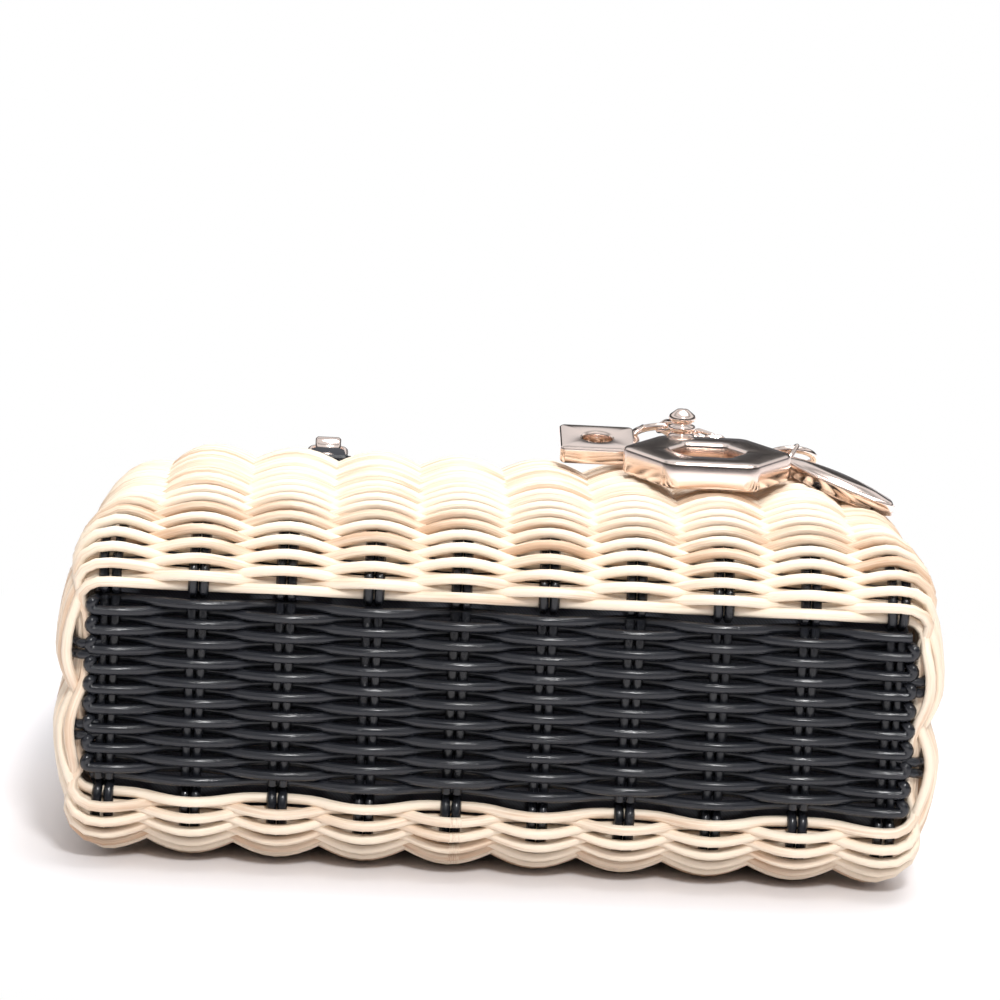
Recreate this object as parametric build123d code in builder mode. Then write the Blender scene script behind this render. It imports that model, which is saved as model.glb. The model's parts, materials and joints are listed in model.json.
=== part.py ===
# Top handle bag of round reed, lying on its back: the woven base looks along -Y, the mouth along +Y,
# and the front wall is up. Lengths are in millimetres. The floor is at Z = 0.

import os
from math import asin, atan2, cos, degrees, hypot, pi, radians, sin, sqrt

from build123d import *

os.makedirs("parts", exist_ok=True)

# Overall size of the woven body
body_length = 150.0        # base to rim
front_height = 71.9        # top of the front wall when the bag lies on its back
mouth_front_height = 50.5
mouth_back_height = 6.0
back_lift = 60.0           # the length over which the back wall rises to the mouth

# Base panel and the rounding from it to the walls
panel_width = 158.0
panel_height = 36.2
side_swell = 3.7           # how far the widest row stands out past the flush row
mouth_narrow = 9.7         # how much narrower the mouth is on each side
panel_centre = 35.0        # height of the panel's middle over the floor
panel_depth = 4.8
panel_corner = 4.0
panel_gap = 0.15
border = 2.0               # the row of wall reed that lies flush round the panel
front_round = 36.0
back_round = 18.0
side_round = 12.0
corner_round = 24.0

# Weave
stake_columns = 10
stake_margin = 4.75        # the last stakes, from the panel's short edges
side_stake = 7.7           # the stakes of the short sides, from the panel's middle
row_pitch = 1.93
panel_rows = 19
reed = 2.0                 # diameter of one reed
crest = 2.4                # height of a crest over the valleys between the stakes
wall = 4.2                 # crest to inside
band_start = 84.0          # where the dark reed begins
rim_width = 4.6
rim_depth = 4.0

# Lining
lining_gap = 0.3
lining = 1.0

# Handles, their rings and the leather tabs
handle_half_span = 36.0
handle_leg = 30.0
handle_radius = 4.0
ferrule_radius = 4.5
ferrule_length = 9.0
eye_radius = 2.6
eye_bore = 1.3
eye_width = 5.6
ring_wire = 0.8
ring_width = 9.0
ring_reach = 7.0           # from the tab's eye to the handle's eye
front_ring_tilt = 10.0
tab_width = 11.0
tab_length = 18.0
tab_thickness = 1.6
tab_clear = 0.3
tab_eye_width = 5.6
eye_past_rim = 3.6
rivet_radius = 1.5
rivet_height = 0.8

# Charms on the front wall, and the strap that carries them
strap_offset = -1.0        # the staple, from the middle of the right tab
strap_drift = -2.0         # how far the strap leads to the left on its way down
staple_width = 7.0
staple_rise = 3.0
strap_width = 5.0
strap_thickness = 1.4
strap_end = 90.0           # from the base
strap_eye_bore = 1.5
charm_ring_radius = 6.8
charm_ring_wire = 0.75
charm_ring_tilt = 33.0
small_ring_radius = 4.6
hexagon_across = 34.0
hexagon_hole = 15.0
hexagon_thickness = 5.4
square_side = 15.0
square_hole = 6.0
square_thickness = 3.5
leaf_length = 28.0
leaf_width = 12.0
leaf_thickness = 3.8
bead_radius = 2.8
bead_height = 12.0
charm_clear = 0.3
hexagon_place = (6.5, -42.0)     # from the end of the strap, across and towards the base
square_place = (-14.5, -32.0)
square_lean = 8.0
bead_place = (2.7, -18.0)
link_place = (9.5, -18.0)
leaf_place = (19.5, 50.1)        # from the widest row inwards, and from the base
leaf_sink = 2.1                  # how far the leaf's middle lies under the front wall's top
bead_sink = 0.9                  # the bead stands between two crests
small_ring_place = (27.0, 71.0)

body_half_width = panel_width / 2 + border + side_swell
mouth_half_width = body_half_width - mouth_narrow
stake_pitch = (panel_width - 2 * stake_margin) / (stake_columns - 1)


# Outline of the body at a distance from the base
def front_at(d):
    if d < front_round:
        t = 1 - d / front_round
        rise = front_height - panel_centre - panel_height / 2 - border
        return front_height - rise + rise * sqrt(1 - t * t)
    flat = front_round + 4
    steep = flat + 55
    fall = (front_height - mouth_front_height) / (55 * 55 / 2 + 55 * (body_length - steep))
    if d < flat:
        return front_height
    if d < steep:
        return front_height - fall * (d - flat) ** 2 / 2
    return front_height - fall * 55 * 55 / 2 - fall * 55 * (d - steep)


def back_at(d):
    if d < back_round:
        t = 1 - d / back_round
        drop = panel_centre - panel_height / 2 - border
        return drop - drop * sqrt(1 - t * t)
    if d < body_length - back_lift:
        return 0.0
    return mouth_back_height * ((d - body_length + back_lift) / back_lift) ** 2


def side_at(d):
    if d < side_round:
        t = 1 - d / side_round
        swell = body_half_width - panel_width / 2 - border
        return body_half_width - swell + swell * sqrt(1 - t * t)
    if d < front_round:
        return body_half_width
    return body_half_width - (body_half_width - mouth_half_width) * (
        (d - front_round) / (body_length - front_round)) ** 1.3


# The back handle lies on the floor past the mouth and sets the overall length,
# and the origin is on the floor at the middle of that length
floor_clear = 0.1
handle_reach = handle_leg + handle_half_span
back_eye_z = eye_radius + 0.3
back_hinge_z = ferrule_radius + floor_clear
back_ring_tilt = degrees(asin((back_hinge_z - back_eye_z) / ring_reach))
back_droop = -degrees(asin((back_hinge_z - handle_radius - floor_clear) / handle_reach))
back_hinge_d = body_length + eye_past_rim + ring_reach * cos(radians(back_ring_tilt))
total_length = back_hinge_d + handle_reach * cos(radians(back_droop)) + handle_radius
base_y = -total_length / 2


def section_size(d, inset):
    half_x = side_at(d) - inset
    top, low = front_at(d) - inset, back_at(d) + inset
    half_z = (top - low) / 2
    r = min(corner_round - inset, panel_corner + 2 + 0.62 * d, half_z - 4)
    return half_x, half_z, (top + low) / 2, r


def section_plane(d):
    return Plane(origin=(0, base_y + d, 0), x_dir=(1, 0, 0), z_dir=(0, -1, 0))


# A point of a section's outline, a distance round from the middle of its front, moved out by a height
def quarter_point(s, half_x, half_z, r, out):
    flat_x, flat_z = half_x - r, half_z - r
    if s < flat_x:
        return s, half_z + out
    if s < flat_x + r * pi / 2:
        a = (s - flat_x) / r
        return flat_x + (r + out) * sin(a), flat_z + (r + out) * cos(a)
    return half_x + out, flat_z - (s - flat_x - r * pi / 2)


# Outline of one row: a reed passes over every second stake, and the next row over the others
def woven_outline(d, row):
    half_x, half_z, mid, r = section_size(d, crest)
    flat_x = half_x - r
    quarter = flat_x + r * pi / 2 + half_z - r
    half_columns = stake_columns // 2
    stakes = []
    for i in range(half_columns):
        x = (i + 0.5) * stake_pitch * min(1.0, half_x / ((half_columns - 0.5) * stake_pitch + 4))
        stakes.append(x if x < flat_x else flat_x + r * asin(min(1, (x - flat_x) / r)))
    stakes.append(quarter - min(side_stake, half_z - r + 4))
    valleys = [(a + b) / 2 for a, b in zip(stakes, stakes[1:])] + [quarter]
    points = []
    for turn in range(4):
        line = [(0, 0)]
        for i, stake in enumerate(stakes):
            over = (i + turn + row) % 2 == 1
            if over or flat_x - stake_pitch / 2 < stake < quarter - half_z + r + stake_pitch / 2:
                line.append((stake, crest if over else 0))
            line.append((valleys[i], 0))
        for s, out in line[:-1] if turn % 2 == 0 else line[:0:-1]:
            x, z = quarter_point(s, half_x, half_z, r, out)
            points.append((x if turn < 2 else -x, mid + (z if turn in (0, 3) else -z)))
    return points


# Outline of a rounded rectangle with flat facets at its corners
def facet_outline(half_x, half_z, mid, r):
    points = []
    for x_side, z_side, turns in ((1, 1, (0, 30, 60, 90)), (1, -1, (90, 60, 30, 0)),
                                  (-1, -1, (0, 30, 60, 90)), (-1, 1, (90, 60, 30, 0))):
        for turn in turns:
            a = radians(turn)
            points.append((x_side * (half_x - r + r * sin(a)), mid + z_side * (half_z - r + r * cos(a))))
    return points


def plain_body(inset, stations):
    with BuildPart() as body:
        for d in stations:
            with BuildSketch(section_plane(d)):
                with BuildLine():
                    Polyline(*facet_outline(*section_size(d, inset)), close=True)
                make_face()
        loft(ruled=True)
    return body.part


# Edges of the rows, evenly spaced along the curve of the front wall
row_edges = [0.0]
step, walked, d = 0.005, 0.0, 0.0
while d < body_length - rim_depth - row_pitch / 2:
    walked += hypot(step, front_at(d + step) - front_at(d))
    d += step
    if walked >= row_pitch:
        row_edges.append(d)
        walked = 0.0
row_edges[-1] = body_length - rim_depth
band_row = min(range(len(row_edges)), key=lambda i: abs(row_edges[i] - band_start))

inner_stations = [panel_depth + 0.2, 14, 36, 70, 100, body_length - 25, body_length + 1]
inside = plain_body(wall, inner_stations)


# One row of reed round the body
def wall_row(row):
    with BuildPart() as strip:
        for d in (row_edges[row], row_edges[row + 1]):
            with BuildSketch(section_plane(d)):
                with BuildLine():
                    if row == 0:
                        Polyline(*facet_outline(*section_size(d, reed / 4)), close=True)
                    else:
                        Polyline(*woven_outline(d, row), close=True)
                make_face()
        loft(ruled=True)
    return strip.part


def woven_wall(first, last, hollow):
    rows = [wall_row(row) for row in range(first, last)]
    with BuildPart() as piece:
        add(rows)
        add(hollow, mode=Mode.SUBTRACT)
    return piece


# Natural reed of the walls, open round the base panel
with BuildPart() as panel_opening:
    add(inside)
    with BuildSketch(section_plane(-1)):
        with BuildLine():
            Polyline(*facet_outline(panel_width / 2 + panel_gap, panel_height / 2 + panel_gap, panel_centre,
                                    panel_corner), close=True)
        make_face()
    extrude(amount=-(panel_depth + 2))
wall_weave = woven_wall(0, band_row, panel_opening.part)
wall_weave.part.label = "wall_weave"

# Dark reed from the middle of the walls to the rim
band_weave = woven_wall(band_row, len(row_edges) - 1, inside)
band_weave.part.label = "band_weave"

# Dark rim, bound over the ends of the stakes
rim_d = body_length - rim_depth
with BuildPart() as rim_border:
    for inset, mode in ((0, Mode.ADD), (rim_width, Mode.SUBTRACT)):
        half_x, half_z, mid, r = section_size(body_length, 0)
        with BuildSketch(section_plane(rim_d)):
            with BuildLine():
                Polyline(*facet_outline(half_x - inset, half_z - inset, mid, r - inset), close=True)
            make_face()
        extrude(amount=-rim_depth, mode=mode)
    chamfer(rim_border.edges().group_by(Axis.Y)[-1], 1.4)
rim_border.part.label = "rim_border"

# Woven base panel: rows run along X, and each passes over every second stake
columns = [(i - (stake_columns - 1) / 2) * stake_pitch for i in range(stake_columns)]
row_step = panel_height / panel_rows
panel_low = panel_centre - panel_height / 2
panel_back = base_y + panel_depth
valley_y = base_y + 0.4 + crest


def panel_row(row):
    crest_y = valley_y - crest / 2 if row in (0, panel_rows - 1) else valley_y - crest
    reach = stake_pitch / 2
    wide = columns[-1] + reach
    front = []
    for i, x in enumerate(columns):
        if (i + row) % 2 == 1:
            front += [(x - reach, valley_y), (x, crest_y), (x + reach, valley_y)]
    if front[0][0] > -wide + reach:
        front.insert(0, (-wide, valley_y))
    if front[-1][0] < wide - reach:
        front.append((wide, valley_y))
    with BuildPart() as strip:
        with BuildSketch(Plane.XY.offset(panel_low + row * row_step)):
            with BuildLine():
                Polyline((-wide, panel_back), *front, (wide, panel_back), close=True)
            make_face()
        extrude(amount=row_step)
    return strip.part


strips = [panel_row(row) for row in range(panel_rows)]
with BuildPart() as base_panel:
    add(strips)
    with BuildSketch(section_plane(-1)):
        with BuildLine():
            Polyline(*facet_outline(panel_width / 2, panel_height / 2, panel_centre, panel_corner), close=True)
        make_face()
    extrude(amount=-(panel_depth + 2), mode=Mode.INTERSECT)
base_panel.part.label = "base_panel"

# Fabric lining, a pouch just inside the walls
lining_stations = [panel_depth + 0.5] + inner_stations[1:-1] + [rim_d - lining_gap]
lining_inner = [panel_depth + 0.5 + lining] + inner_stations[1:-1] + [rim_d + 1]
lining_hollow = plain_body(wall + lining_gap + lining, lining_inner)
with BuildPart() as lining_pouch:
    add(plain_body(wall + lining_gap, lining_stations))
    add(lining_hollow, mode=Mode.SUBTRACT)
lining_pouch.part.label = "lining_pouch"


# Eyes of the tabs past the rim, and of the handles at the far side of the loops
eye_y = base_y + body_length + eye_past_rim
front_eye_z = front_at(body_length) + tab_clear + tab_thickness / 2
back_hinge = (base_y + back_hinge_d, back_hinge_z)
front_hinge = (eye_y + ring_reach * cos(radians(front_ring_tilt)),
               front_eye_z + ring_reach * sin(radians(front_ring_tilt)))
front_droop = -degrees(asin((front_hinge[1] - handle_radius - floor_clear) / handle_reach))


# Leather tab: it lies on the wall, is held by two rivets and ends in an eye past the rim
def make_tab(name, x, front):
    side = 1 if front else -1
    edge = front_at if front else back_at
    eye_z = front_eye_z if front else back_eye_z
    a, b = body_length - tab_length, body_length
    low_a, low_b = edge(a) + side * tab_clear, edge(b) + side * tab_clear
    thick = side * tab_thickness
    with BuildPart() as tab:
        with BuildSketch(Plane.YZ.offset(x - tab_width / 2)):
            with BuildLine():
                Polyline((base_y + a, low_a), (base_y + b, low_b), (eye_y - 1, low_b), (eye_y - 1, low_b + thick),
                         (base_y + b, low_b + thick), (base_y + a, low_a + thick), close=True)
            make_face()
        extrude(amount=tab_width)
        with BuildSketch(Plane.YZ.offset(x - tab_eye_width / 2)):
            with Locations((eye_y, eye_z)):
                RegularPolygon(eye_radius, 8)
        extrude(amount=tab_eye_width)
        with BuildSketch(Plane.YZ.offset(x - tab_width)):
            with Locations((eye_y, eye_z)):
                Circle(eye_bore)
        extrude(amount=2 * tab_width, mode=Mode.SUBTRACT)
    tab.part.label = name
    return tab.part


tab_front_left = make_tab("tab_front_left", -handle_half_span, True)
tab_front_right = make_tab("tab_front_right", handle_half_span, True)
tab_back_left = make_tab("tab_back_left", -handle_half_span, False)
tab_back_right = make_tab("tab_back_right", handle_half_span, False)


# Planes that hold a ring or a handle: X stays across the bag, Y leads away from the hinge
def swung_plane(x, hinge, angle):
    a = radians(angle)
    return Plane(origin=(x, hinge[0], hinge[1]), x_dir=(1, 0, 0), z_dir=(0, -sin(a), cos(a)))


# Metal loops between the tabs and a handle, cast as flat frames
def make_loops(name, angle, eye_z):
    with BuildPart() as loops:
        for x in (-handle_half_span, handle_half_span):
            with BuildSketch(swung_plane(x, (eye_y, eye_z), angle).offset(-ring_wire)):
                with BuildLine():
                    Polyline(*facet_outline(ring_width / 2, ring_reach / 2 + ring_wire, ring_reach / 2, 1.8), close=True)
                make_face()
                with Locations((0, ring_reach / 2)):
                    Rectangle(ring_width - 4 * ring_wire, ring_reach - 2 * ring_wire, mode=Mode.SUBTRACT)
            extrude(amount=2 * ring_wire)
    loops.part.label = name
    return loops.part


loops_front = make_loops("loops_front", front_ring_tilt, front_eye_z)
loops_back = make_loops("loops_back", back_ring_tilt, back_eye_z)


# Leather handle: two legs and a half round, with a metal ferrule and an eye at each end
def make_handle(name, hinge, angle):
    flat = swung_plane(0, hinge, angle)
    start = eye_radius + ferrule_length
    with BuildPart() as grip:
        with BuildLine(flat):
            bend = [(-handle_half_span * cos(radians(a)), handle_leg + handle_half_span * sin(radians(a)))
                    for a in range(0, 181, 15)]
            Polyline((-handle_half_span, start), *bend, (handle_half_span, start))
        with BuildSketch(Plane(origin=flat.origin - flat.x_dir * handle_half_span + flat.y_dir * start,
                               x_dir=flat.x_dir, z_dir=flat.y_dir)):
            RegularPolygon(handle_radius, 8)
        sweep(transition=Transition.RIGHT)
    grip.part.label = name
    with BuildPart() as ends:
        for x in (-handle_half_span, handle_half_span):
            foot = swung_plane(x, hinge, angle)
            with BuildSketch(Plane(origin=foot.origin, x_dir=foot.z_dir, z_dir=foot.x_dir).offset(-eye_width / 2)):
                RegularPolygon(eye_radius, 8)
                with Locations((0, -eye_radius * 0.75)):
                    Rectangle(2 * eye_radius, eye_radius * 1.5)
            extrude(amount=eye_width)
            with BuildSketch(Plane(origin=foot.origin + foot.y_dir * eye_radius * 1.3, z_dir=foot.y_dir)):
                RegularPolygon(ferrule_radius, 10)
            extrude(amount=start - eye_radius * 1.3)
            with BuildSketch(Plane(origin=foot.origin, x_dir=foot.z_dir, z_dir=foot.x_dir).offset(-ferrule_radius * 2)):
                Circle(eye_bore)
            extrude(amount=ferrule_radius * 4, mode=Mode.SUBTRACT)
    ends.part.label = name + "_ferrules"
    return grip.part, ends.part


handle_front, handle_front_ferrules = make_handle("handle_front", front_hinge, front_droop)
handle_back, handle_back_ferrules = make_handle("handle_back", back_hinge, back_droop)


# Rivets of the tabs: small domed heads
def front_slope(d):
    return degrees(atan2(front_at(d + 1) - front_at(d - 1), 2))


def back_slope(d):
    return degrees(atan2(back_at(d + 1) - back_at(d - 1), 2))


rivet_places = [body_length - tab_length + 4.0, body_length - 5.0]
with BuildPart() as rivets:
    for d in rivet_places:
        for x in (-handle_half_span, handle_half_span):
            a, b = body_length - tab_length, body_length
            share = (d - a) / (b - a)
            front_z = front_at(a) + share * (front_at(b) - front_at(a)) + tab_clear + tab_thickness
            back_z = back_at(a) + share * (back_at(b) - back_at(a)) - tab_clear - tab_thickness
            front_turn = degrees(atan2(front_at(b) - front_at(a), b - a))
            back_turn = degrees(atan2(back_at(b) - back_at(a), b - a))
            with BuildSketch(swung_plane(x, (base_y + d, front_z), front_turn)):
                RegularPolygon(rivet_radius, 6)
            extrude(amount=rivet_height, taper=25)
            with BuildSketch(swung_plane(x, (base_y + d, back_z), back_turn)):
                RegularPolygon(rivet_radius, 6)
            extrude(amount=-rivet_height, taper=25)
rivets.part.label = "rivets"

# Staple on the right front tab: the strap of the charms turns in it
charm_x = handle_half_span + strap_offset
staple_d = rivet_places[1] - 6.5
staple_y = base_y + staple_d
tab_a, tab_b = body_length - tab_length, body_length
tab_turn = degrees(atan2(front_at(tab_b) - front_at(tab_a), tab_b - tab_a))
tab_top = front_at(tab_a) + (staple_d - tab_a) / (tab_b - tab_a) * (front_at(tab_b) - front_at(tab_a)) + tab_clear + tab_thickness
staple_plane = swung_plane(charm_x, (staple_y, tab_top), tab_turn)
with BuildPart() as staple:
    with BuildSketch(Plane(origin=staple_plane.origin, x_dir=(1, 0, 0), z_dir=-staple_plane.y_dir).offset(-ring_wire)):
        with Locations((0, (staple_rise + ring_wire) / 2)):
            Rectangle(staple_width + 4 * ring_wire, staple_rise + ring_wire)
        with Locations((0, (staple_rise - ring_wire) / 2)):
            Rectangle(staple_width, staple_rise - ring_wire, mode=Mode.SUBTRACT)
    extrude(amount=2 * ring_wire)
    chamfer(staple.edges().filter_by(Axis.X), 0.3)
staple.part.label = "charm_staple"
bar = staple_plane.origin + staple_plane.z_dir * staple_rise
strap_hinge = (bar.Y, bar.Z)

# Strap of the charms: an eye round the staple's bar, and an eye for the large ring
ring_x = charm_x + strap_drift
end_eye = (base_y + strap_end, front_at(strap_end) + charm_clear + eye_radius)
strap_run = hypot(end_eye[0] - strap_hinge[0], end_eye[1] - strap_hinge[1])
strap_turn = degrees(atan2(end_eye[1] - strap_hinge[1], end_eye[0] - strap_hinge[0]))
with BuildPart() as charm_strap:
    with BuildSketch(swung_plane(charm_x, strap_hinge, strap_turn).offset(-strap_thickness / 2)):
        with BuildLine():
            half = strap_width / 2
            Polyline((-half, 0), (half, 0), (half + strap_drift, strap_run), (strap_drift - half, strap_run), close=True)
        make_face()
    extrude(amount=strap_thickness)
    for x, eye in ((charm_x, strap_hinge), (ring_x, end_eye)):
        with BuildSketch(Plane.YZ.offset(x - strap_width / 2)):
            with Locations(eye):
                RegularPolygon(eye_radius, 8)
        extrude(amount=strap_width)
        with BuildSketch(Plane.YZ.offset(x - strap_width)):
            with Locations(eye):
                Circle(eye_bore if x == charm_x else strap_eye_bore)
        extrude(amount=2 * strap_width, mode=Mode.SUBTRACT)
charm_strap.part.label = "charm_strap"


# Flat rings of wire
def make_ring(name, plane, radius):
    with BuildPart() as ring:
        with BuildSketch(plane.offset(-charm_ring_wire)):
            with Locations((0, radius)):
                RegularPolygon(radius + charm_ring_wire, 16)
                RegularPolygon(radius - charm_ring_wire, 16, mode=Mode.SUBTRACT)
        extrude(amount=2 * charm_ring_wire)
    ring.part.label = name
    return ring.part


# Large ring through the end of the strap, leaning towards the base
charm_ring = make_ring("charm_ring", swung_plane(ring_x, end_eye, 180 - charm_ring_tilt), charm_ring_radius)

# Small ring beside it, standing on the wall
small_d = small_ring_place[1]
small_foot = (base_y + small_d, front_at(small_d) + charm_clear + charm_ring_wire)
charm_ring_small = make_ring("charm_ring_small", swung_plane(body_half_width - small_ring_place[0], small_foot,
                                                             180 - charm_ring_tilt), small_ring_radius)

# Pierced hexagon, the largest charm
with BuildPart() as charm_hexagon:
    with BuildSketch(Plane.XY.offset(front_height + charm_clear)):
        with Locations((ring_x + hexagon_place[0], base_y + strap_end + hexagon_place[1])):
            RegularPolygon(hexagon_across / 2, 6)
            RegularPolygon(hexagon_hole / 2, 6, mode=Mode.SUBTRACT)
    extrude(amount=hexagon_thickness)
    chamfer(charm_hexagon.edges().group_by(Axis.Z)[-1], 0.9)
charm_hexagon.part.label = "charm_hexagon"

# Pierced square at the left, leaning back
square_d = strap_end + square_place[1]
square_plane = swung_plane(ring_x + square_place[0], (base_y + square_d, front_at(square_d) + charm_clear), square_lean)
with BuildPart() as charm_square:
    with BuildSketch(square_plane):
        with Locations((0, square_side / 2)):
            Rectangle(square_side, square_side)
            RegularPolygon(square_hole / 2, 8, mode=Mode.SUBTRACT)
    extrude(amount=square_thickness)
    chamfer(charm_square.edges().group_by(SortBy.LENGTH)[-1], 0.7)
charm_square.part.label = "charm_square"

# Leaf plate at the right, sloping down over the rounded corner
leaf_plane = Plane(origin=(body_half_width - leaf_place[0], base_y + leaf_place[1], front_height - leaf_sink),
                   x_dir=(25, -22, -6.75), z_dir=(0.27, 0, 1))
with BuildPart() as charm_leaf:
    with BuildSketch(leaf_plane):
        with BuildLine():
            leaf_turns = [radians(-60 + 20 * i) for i in range(7)]
            upper = [(leaf_length / 2 * sin(a) / sin(pi / 3), leaf_width / 2 * (cos(a) - 0.5) / 0.5) for a in leaf_turns]
            Polyline(*upper, *[(x, -y) for x, y in upper[-2:0:-1]], close=True)
        make_face()
        with Locations((-leaf_length / 2 + 5, 0)):
            RegularPolygon(1.3, 8, mode=Mode.SUBTRACT)
    extrude(amount=leaf_thickness)
charm_leaf.part.label = "charm_leaf"

# Ribbed bead standing beside the hexagon: a neck above each rib
bead_x, bead_d = ring_x + bead_place[0], strap_end + bead_place[1]
bead_z = front_at(bead_d - bead_radius) + charm_clear - bead_sink
with BuildPart() as charm_bead:
    for low, high, size in ((0, 0.56, 1), (0.56, 0.64, 0.75), (0.64, 0.73, 1), (0.73, 0.8, 0.75), (0.8, 0.9, 1), (0.9, 1, 0.75)):
        with BuildSketch(Plane.XY.offset(bead_z + low * bead_height)):
            with Locations((bead_x, base_y + bead_d)):
                RegularPolygon(size * bead_radius, 8)
        extrude(amount=(high - low) * bead_height)
charm_bead.part.label = "charm_bead"

# Small link standing between the bead and the hexagon
link_d = strap_end + link_place[1]
link_z = front_at(link_d - 1) + charm_clear
with BuildPart() as charm_link:
    with BuildSketch(Plane.XZ.offset(-(base_y + link_d))):
        with Locations((ring_x + link_place[0], link_z + 3.2)):
            Rectangle(5.2, 6.4)
            Rectangle(2.4, 3.4, mode=Mode.SUBTRACT)
    extrude(amount=0.8, both=True)
    chamfer(charm_link.edges().filter_by(Axis.Y).group_by(SortBy.DISTANCE)[-1], 0.9)
charm_link.part.label = "charm_link"

# Every piece goes to its own file
pieces = [
    wall_weave.part, band_weave.part, rim_border.part, base_panel.part, lining_pouch.part,
    tab_front_left, tab_front_right, tab_back_left, tab_back_right, rivets.part, loops_front, loops_back,
    handle_front, handle_front_ferrules, handle_back, handle_back_ferrules, staple.part, charm_strap.part,
    charm_ring, charm_ring_small, charm_hexagon.part, charm_square.part, charm_leaf.part, charm_bead.part,
    charm_link.part,
]
for piece in pieces:
    export_step(piece, f"parts/{piece.label}.step")
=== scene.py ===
import json
import random
from math import atan2, cos, hypot, pi, radians, sin, sqrt

import bmesh
import bpy
import numpy as np
from bpy.props import FloatProperty, FloatVectorProperty, IntProperty, PointerProperty
from mathutils import Matrix, Vector


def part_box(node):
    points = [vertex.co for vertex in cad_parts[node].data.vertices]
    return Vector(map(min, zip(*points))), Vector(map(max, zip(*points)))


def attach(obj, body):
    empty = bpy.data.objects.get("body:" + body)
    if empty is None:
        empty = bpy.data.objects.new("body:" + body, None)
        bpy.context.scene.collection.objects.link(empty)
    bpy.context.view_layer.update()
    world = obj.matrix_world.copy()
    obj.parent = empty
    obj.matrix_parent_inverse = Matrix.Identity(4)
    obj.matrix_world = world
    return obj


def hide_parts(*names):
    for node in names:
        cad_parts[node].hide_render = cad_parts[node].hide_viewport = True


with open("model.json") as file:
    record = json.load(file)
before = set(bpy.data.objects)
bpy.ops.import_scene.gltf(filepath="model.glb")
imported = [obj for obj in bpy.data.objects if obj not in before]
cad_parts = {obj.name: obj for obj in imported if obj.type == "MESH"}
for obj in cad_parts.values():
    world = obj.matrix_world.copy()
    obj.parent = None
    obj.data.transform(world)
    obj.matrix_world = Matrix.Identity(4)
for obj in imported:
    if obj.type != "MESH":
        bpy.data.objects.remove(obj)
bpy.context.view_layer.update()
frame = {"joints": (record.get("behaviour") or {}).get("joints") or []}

bl_info = {
    "name": "Reed Handbag",
    "version": (1, 0, 0),
    "blender": (4, 5, 0),
    "location": "View3D > Sidebar > Handbag",
    "description": "Builds a woven reed handbag with leather handles and metal charms",
    "category": "Object",
}


STAKES = 24             # stakes round the walls; a place is counted in stakes
BASE_COLUMNS = 10       # stakes of the base panel
TAB_END = 0.0056        # width of a tab where it goes round its loop
PANEL_FACE = 0.0004     # how far in the base panel's reeds start
CREST_FULLNESS = 0.85   # under 1, a reed stays out longer over a stake
METAL, LEATHER, CLOTH = "metal_rose_gold", "leather_black", "lining_fabric"


# Settings

def span(name, description, default):
    return FloatProperty(name=name, description=description, default=default, unit="LENGTH")


def colour(name, description, default):
    return FloatVectorProperty(name=name, description=description, default=default, subtype="COLOR", size=3)


class BasketSettings(bpy.types.PropertyGroup):
    length: span("Length", "From the base to the rim", 0.150)
    half_width: span("Half width", "Half the widest row", 0.0847)
    mouth_half_width: span("Mouth half width", "Half the width of the mouth", 0.075)
    front_height: span("Front height", "Top of the front wall over the floor", 0.0719)
    mouth_front: span("Mouth front", "Height of the mouth's front edge", 0.0505)
    mouth_back: span("Mouth back", "Height of the mouth's back edge", 0.006)
    back_lift: span("Back lift", "Length over which the back rises to the mouth", 0.060)
    panel_width: span("Panel width", "Width of the dark base panel", 0.158)
    panel_height: span("Panel height", "Height of the dark base panel", 0.0362)
    panel_centre: span("Panel centre", "Height of the panel's middle", 0.035)
    border: span("Border", "Flush row of wall reed round the panel", 0.002)
    front_round: span("Front rounding", "Length of the rounding from base to front", 0.036)
    back_round: span("Back rounding", "Length of the rounding from base to back", 0.018)
    side_round: span("Side rounding", "Length of the rounding from base to sides", 0.012)
    corner_round: span("Corner radius", "Radius of the upright corners", 0.024)
    band_start: span("Band start", "Distance from the base to the dark reed", 0.084)
    rim_depth: span("Rim depth", "Depth of the bound rim", 0.004)


class WeaveSettings(bpy.types.PropertyGroup):
    reed: span("Reed", "Diameter of the round reed", 0.00205)
    pitch: span("Row pitch", "Distance from row to row", 0.00193)
    wave: span("Wave", "How far a reed goes out and in over the stakes", 0.00185)
    scallop: span("Scallop", "How far the wall dips between the stakes", 0.0007)
    stake_pitch: span("Stake pitch", "Distance between stakes", 0.0165)
    side_stake: span("Side stake", "Distance of the side stakes from the middle", 0.0077)
    stake_radius: span("Stake rod radius", "Radius of each rod of a stake", 0.00095)
    stake_spacing: span("Stake rod spacing", "Distance between the two rods of a stake", 0.00205)
    panel_rows: IntProperty(name="Panel rows", description="Rows of reed in the base panel", default=19,
                            min=3)
    steps: IntProperty(name="Steps", description="Points between two stakes along a reed", default=8, min=4,
                       max=16)


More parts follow.
